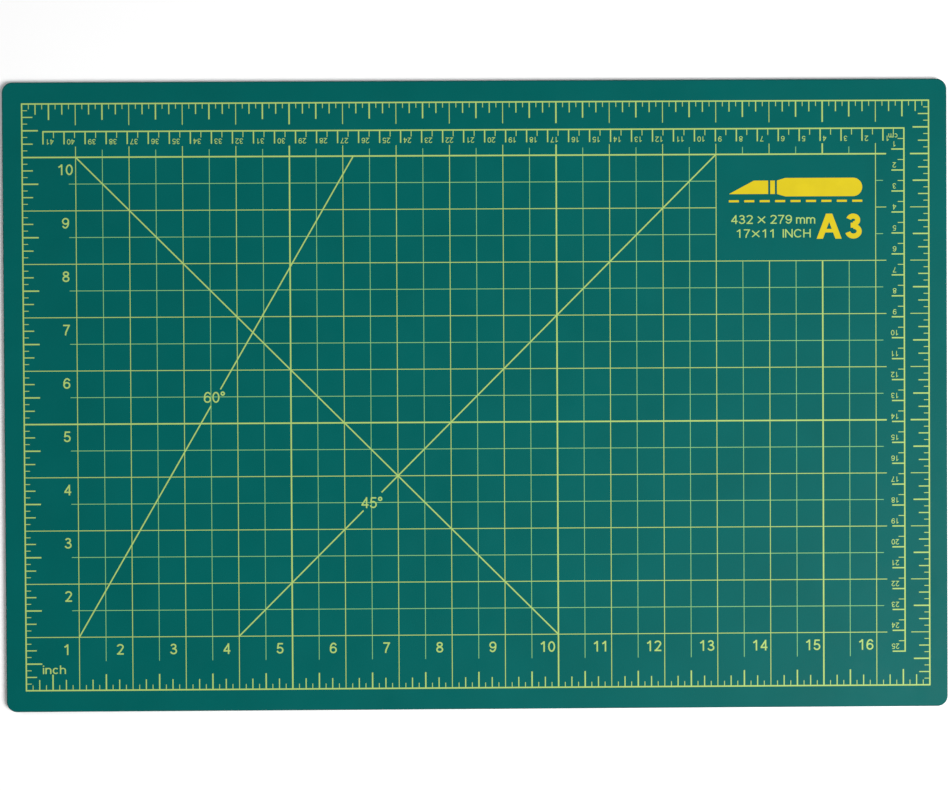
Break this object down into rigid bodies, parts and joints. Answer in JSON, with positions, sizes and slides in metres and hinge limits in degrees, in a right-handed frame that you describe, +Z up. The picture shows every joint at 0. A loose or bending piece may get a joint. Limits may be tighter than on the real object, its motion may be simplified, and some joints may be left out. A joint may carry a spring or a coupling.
{
  "type": "self-healing cutting mat",
  "caption": "Flat rectangular self-healing cutting mat with rounded corners, a printed inch grid, angle guides and a centimetre scale, for cutting leather, paper or cloth on a bench.",
  "frame": {"origin": "centre of the underside, on the surface that the mat lies on", "axes": "+X along the long side, in the reading direction of the inch numerals; +Y along the short side, away from the user; +Z up, out of the printed face"},
  "size_m": [0.45, 0.3, 0.003],
  "materials": {
    "soft_pvc": "matt green PVC with a fine pebbled grain",
    "bond_film": "thin green bond film, seen only as a line on the edge",
    "hard_core": "pale grey hard PVC, seen only on the edge",
    "printed_ink": "yellow screen-printed ink, satin"
  },
  "bodies": {
    "root": {"bottom_cutting_sheet": "soft_pvc", "lower_bond_film": "bond_film", "core_sheet": "hard_core", "upper_bond_film": "bond_film", "top_cutting_sheet": "soft_pvc", "inch_border_print": "printed_ink", "inch_grid_print": "printed_ink", "centimetre_scale_print": "printed_ink", "knife_handle_print": "printed_ink", "knife_blade_print": "printed_ink", "cut_line_print": "printed_ink"}
  },
  "joints": []
}
